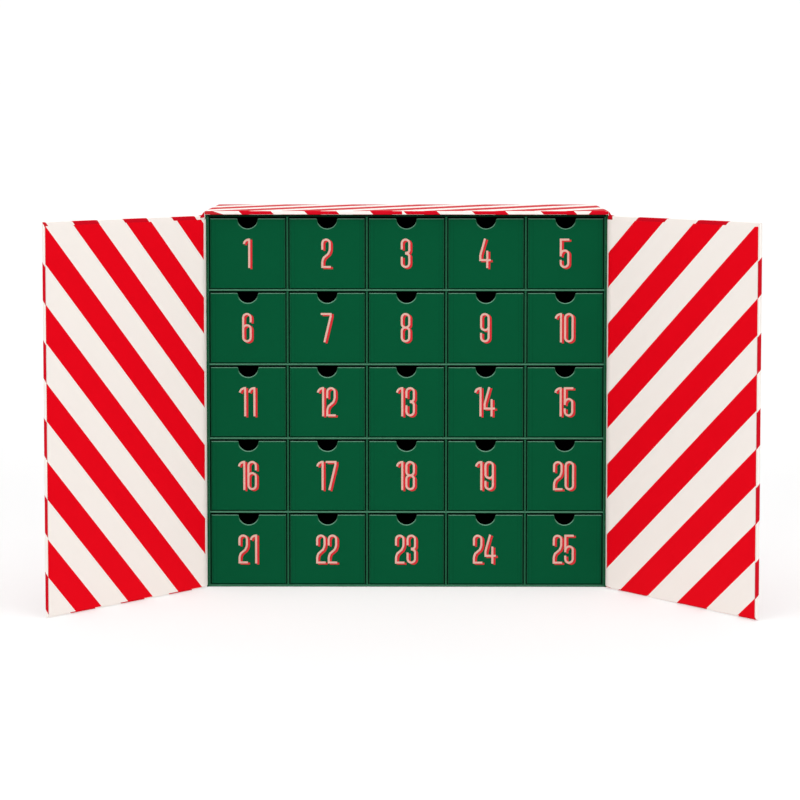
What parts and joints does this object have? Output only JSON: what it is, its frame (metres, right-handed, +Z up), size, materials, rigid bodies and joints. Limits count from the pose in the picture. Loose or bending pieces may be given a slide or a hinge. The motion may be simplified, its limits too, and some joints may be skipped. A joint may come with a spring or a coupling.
{
  "type": "beauty advent calendar",
  "caption": "Wrapped board cabinet with two hinged striped doors and a grid of numbered pull-out drawers.",
  "frame": {"origin": "middle of the case's footprint, on the surface that it stands on", "axes": "+X to the right along the row of drawers, +Y from the doors to the back, +Z up"},
  "size_m": [0.6006, 0.2926, 0.3391],
  "materials": {
    "green_paper": "satin",
    "drawer_paper": "satin",
    "striped_paper": "satin",
    "striped_liner": "satin"
  },
  "bodies": {
    "case": {"carcass_floor": "green_paper", "carcass_ceiling": "green_paper", "carcass_left_wall": "green_paper", "carcass_right_wall": "green_paper", "carcass_back": "green_paper", "case_left_side": "striped_paper", "case_right_side": "striped_paper", "case_back": "striped_paper", "case_top": "striped_paper", "shelf_1": "green_paper", "shelf_2": "green_paper", "shelf_3": "green_paper", "shelf_4": "green_paper", "divider_1": "green_paper", "divider_2": "green_paper", "divider_3": "green_paper", "divider_4": "green_paper", "left_hinge_wrap": "striped_paper", "left_hinge_liner": "striped_liner", "right_hinge_wrap": "striped_paper", "right_hinge_liner": "striped_liner"},
    "left_door": {"left_door": "striped_paper", "left_door_liner": "striped_liner"},
    "right_door": {"right_door": "striped_paper", "right_door_liner": "striped_liner"},
    "drawer_01": {"drawer_01": "drawer_paper"},
    "drawer_02": {"drawer_02": "drawer_paper"},
    "drawer_03": {"drawer_03": "drawer_paper"},
    "drawer_04": {"drawer_04": "drawer_paper"},
    "drawer_05": {"drawer_05": "drawer_paper"},
    "drawer_06": {"drawer_06": "drawer_paper"},
    "drawer_07": {"drawer_07": "drawer_paper"},
    "drawer_08": {"drawer_08": "drawer_paper"},
    "drawer_09": {"drawer_09": "drawer_paper"},
    "drawer_10": {"drawer_10": "drawer_paper"},
    "drawer_11": {"drawer_11": "drawer_paper"},
    "drawer_12": {"drawer_12": "drawer_paper"},
    "drawer_13": {"drawer_13": "drawer_paper"},
    "drawer_14": {"drawer_14": "drawer_paper"},
    "drawer_15": {"drawer_15": "drawer_paper"},
    "drawer_16": {"drawer_16": "drawer_paper"},
    "drawer_17": {"drawer_17": "drawer_paper"},
    "drawer_18": {"drawer_18": "drawer_paper"},
    "drawer_19": {"drawer_19": "drawer_paper"},
    "drawer_20": {"drawer_20": "drawer_paper"},
    "drawer_21": {"drawer_21": "drawer_paper"},
    "drawer_22": {"drawer_22": "drawer_paper"},
    "drawer_23": {"drawer_23": "drawer_paper"},
    "drawer_24": {"drawer_24": "drawer_paper"},
    "drawer_25": {"drawer_25": "drawer_paper"}
  },
  "joints": [
    {"name": "left_door_hinge", "type": "hinge", "parent": "case", "child": "left_door", "pos_m": [-0.1803, -0.0787, 0.16785], "axis": [0, 0, -1], "range_deg": [-133.8, 131.2], "deforming": ["left_hinge_wrap", "left_hinge_liner"]},
    {"name": "right_door_hinge", "type": "hinge", "parent": "case", "child": "right_door", "pos_m": [0.1803, -0.0787, 0.16785], "axis": [0, 0, 1], "range_deg": [-130.2, 134.8], "deforming": ["right_hinge_wrap", "right_hinge_liner"]},
    {"name": "drawer_01_slide", "type": "slide", "parent": "case", "child": "drawer_01", "axis": [0, -1, 0], "range_m": [0, 0.14]},
    {"name": "drawer_02_slide", "type": "slide", "parent": "case", "child": "drawer_02", "axis": [0, -1, 0], "range_m": [0, 0.14]},
    {"name": "drawer_03_slide", "type": "slide", "parent": "case", "child": "drawer_03", "axis": [0, -1, 0], "range_m": [0, 0.14]},
    {"name": "drawer_04_slide", "type": "slide", "parent": "case", "child": "drawer_04", "axis": [0, -1, 0], "range_m": [0, 0.14]},
    {"name": "drawer_05_slide", "type": "slide", "parent": "case", "child": "drawer_05", "axis": [0, -1, 0], "range_m": [0, 0.14]},
    {"name": "drawer_06_slide", "type": "slide", "parent": "case", "child": "drawer_06", "axis": [0, -1, 0], "range_m": [0, 0.14]},
    {"name": "drawer_07_slide", "type": "slide", "parent": "case", "child": "drawer_07", "axis": [0, -1, 0], "range_m": [0, 0.14]},
    {"name": "drawer_08_slide", "type": "slide", "parent": "case", "child": "drawer_08", "axis": [0, -1, 0], "range_m": [0, 0.14]},
    {"name": "drawer_09_slide", "type": "slide", "parent": "case", "child": "drawer_09", "axis": [0, -1, 0], "range_m": [0, 0.14]},
    {"name": "drawer_10_slide", "type": "slide", "parent": "case", "child": "drawer_10", "axis": [0, -1, 0], "range_m": [0, 0.14]},
    {"name": "drawer_11_slide", "type": "slide", "parent": "case", "child": "drawer_11", "axis": [0, -1, 0], "range_m": [0, 0.14]},
    {"name": "drawer_12_slide", "type": "slide", "parent": "case", "child": "drawer_12", "axis": [0, -1, 0], "range_m": [0, 0.14]},
    {"name": "drawer_13_slide", "type": "slide", "parent": "case", "child": "drawer_13", "axis": [0, -1, 0], "range_m": [0, 0.14]},
    {"name": "drawer_14_slide", "type": "slide", "parent": "case", "child": "drawer_14", "axis": [0, -1, 0], "range_m": [0, 0.14]},
    {"name": "drawer_15_slide", "type": "slide", "parent": "case", "child": "drawer_15", "axis": [0, -1, 0], "range_m": [0, 0.14]},
    {"name": "drawer_16_slide", "type": "slide", "parent": "case", "child": "drawer_16", "axis": [0, -1, 0], "range_m": [0, 0.14]},
    {"name": "drawer_17_slide", "type": "slide", "parent": "case", "child": "drawer_17", "axis": [0, -1, 0], "range_m": [0, 0.14]},
    {"name": "drawer_18_slide", "type": "slide", "parent": "case", "child": "drawer_18", "axis": [0, -1, 0], "range_m": [0, 0.14]},
    {"name": "drawer_19_slide", "type": "slide", "parent": "case", "child": "drawer_19", "axis": [0, -1, 0], "range_m": [0, 0.14]},
    {"name": "drawer_20_slide", "type": "slide", "parent": "case", "child": "drawer_20", "axis": [0, -1, 0], "range_m": [0, 0.14]},
    {"name": "drawer_21_slide", "type": "slide", "parent": "case", "child": "drawer_21", "axis": [0, -1, 0], "range_m": [0, 0.14]},
    {"name": "drawer_22_slide", "type": "slide", "parent": "case", "child": "drawer_22", "axis": [0, -1, 0], "range_m": [0, 0.14]},
    {"name": "drawer_23_slide", "type": "slide", "parent": "case", "child": "drawer_23", "axis": [0, -1, 0], "range_m": [0, 0.14]},
    {"name": "drawer_24_slide", "type": "slide", "parent": "case", "child": "drawer_24", "axis": [0, -1, 0], "range_m": [0, 0.14]},
    {"name": "drawer_25_slide", "type": "slide", "parent": "case", "child": "drawer_25", "axis": [0, -1, 0], "range_m": [0, 0.14]}
  ]
}
